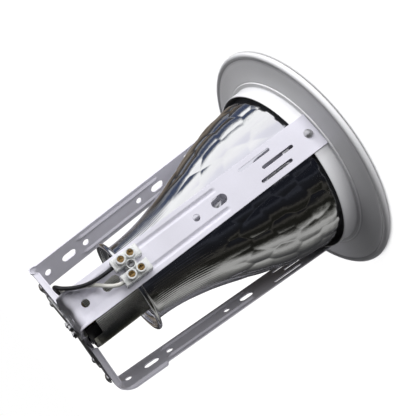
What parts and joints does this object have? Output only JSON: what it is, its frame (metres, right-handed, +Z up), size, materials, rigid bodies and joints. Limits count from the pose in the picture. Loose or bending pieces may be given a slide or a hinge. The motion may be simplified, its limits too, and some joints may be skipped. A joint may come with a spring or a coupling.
{
  "type": "grow lamp",
  "caption": "Open recessed lamp fitting: white trim ring, hammered bell reflector, slotted strip legs, ribbed screw-cap lampholder and terminal block.",
  "frame": {"origin": "centre of the trim's front plane, which the fitting rests on", "axes": "+Z up the lamp axis from the mouth to the feet; -Y towards the leg that carries the terminal block; +X to the right seen from that side"},
  "size_m": [0.19, 0.19, 0.216],
  "materials": {
    "white_paint": "satin powder coat",
    "mirror_aluminium": "polished, hammered facets",
    "bright_steel": "bright nickel plate",
    "zinc_steel": "zinc plate",
    "black_rubber": "matt",
    "sleeve_metal": "ribbed, dull grey",
    "black_plastic": "moulded phenolic",
    "nickel_brass": "nickel plated brass",
    "brass": "turned brass",
    "milky_plastic": "translucent polyethylene",
    "black_insulation": "satin insulation",
    "white_sleeving": "woven glass sleeving"
  },
  "bodies": {
    "root": {"trim_ring": "white_paint", "reflector": "mirror_aluminium", "leg_front": "white_paint", "leg_right": "white_paint", "leg_left": "white_paint", "collar_rivet_front": "bright_steel", "collar_rivet_right": "bright_steel", "collar_rivet_left": "bright_steel", "rim_clip_front": "zinc_steel", "rim_clip_right": "zinc_steel", "rim_clip_left": "zinc_steel", "hub_plate": "zinc_steel", "foot_rivet_right": "bright_steel", "foot_rivet_left": "bright_steel", "hub_screw_1": "bright_steel", "hub_screw_2": "bright_steel", "hub_screw_3": "bright_steel", "hub_nut_1": "bright_steel", "hub_nut_2": "bright_steel", "hub_nut_3": "bright_steel", "foot_screw_right": "bright_steel", "foot_washer_right": "black_rubber", "foot_screw_left": "bright_steel", "holder_sleeve": "sleeve_metal", "holder_ring": "black_plastic", "holder_core": "black_plastic", "holder_bracket": "zinc_steel", "screw_shell": "nickel_brass", "contact_spring": "bright_steel", "holder_terminal_live": "brass", "holder_terminal_neutral": "brass", "holder_screw_live": "bright_steel", "holder_screw_neutral": "bright_steel", "terminal_housing": "milky_plastic", "terminal_barrel_live": "brass", "terminal_barrel_neutral": "brass", "terminal_mount_screw": "bright_steel", "terminal_mount_washer": "bright_steel", "terminal_mount_nut": "bright_steel", "lead_black": "black_insulation", "lead_white": "white_sleeving"},
    "clamp_screw_1": {"clamp_screw_1": "brass"},
    "clamp_screw_2": {"clamp_screw_2": "brass"},
    "clamp_screw_3": {"clamp_screw_3": "brass"},
    "clamp_screw_4": {"clamp_screw_4": "brass"},
    "centre_contact": {"centre_contact": "brass"}
  },
  "joints": [
    {"name": "clamp_screw_1_travel", "type": "slide", "parent": "root", "child": "clamp_screw_1", "axis": [0, -0.9978, 0.0663], "range_m": [0, 0.0025]},
    {"name": "clamp_screw_2_travel", "type": "slide", "parent": "root", "child": "clamp_screw_2", "axis": [0, -0.9978, 0.0663], "range_m": [0, 0.0025]},
    {"name": "clamp_screw_3_travel", "type": "slide", "parent": "root", "child": "clamp_screw_3", "axis": [0, -0.9978, 0.0663], "range_m": [0, 0.0025]},
    {"name": "clamp_screw_4_travel", "type": "slide", "parent": "root", "child": "clamp_screw_4", "axis": [0, -0.9978, 0.0663], "range_m": [0, 0.0025]},
    {"name": "centre_contact_travel", "type": "slide", "parent": "root", "child": "centre_contact", "axis": [0, 0, 1], "range_m": [0, 0.002], "stiffness_N_per_m": 600, "springref_m": -0.001, "deforming": ["contact_spring"]}
  ]
}
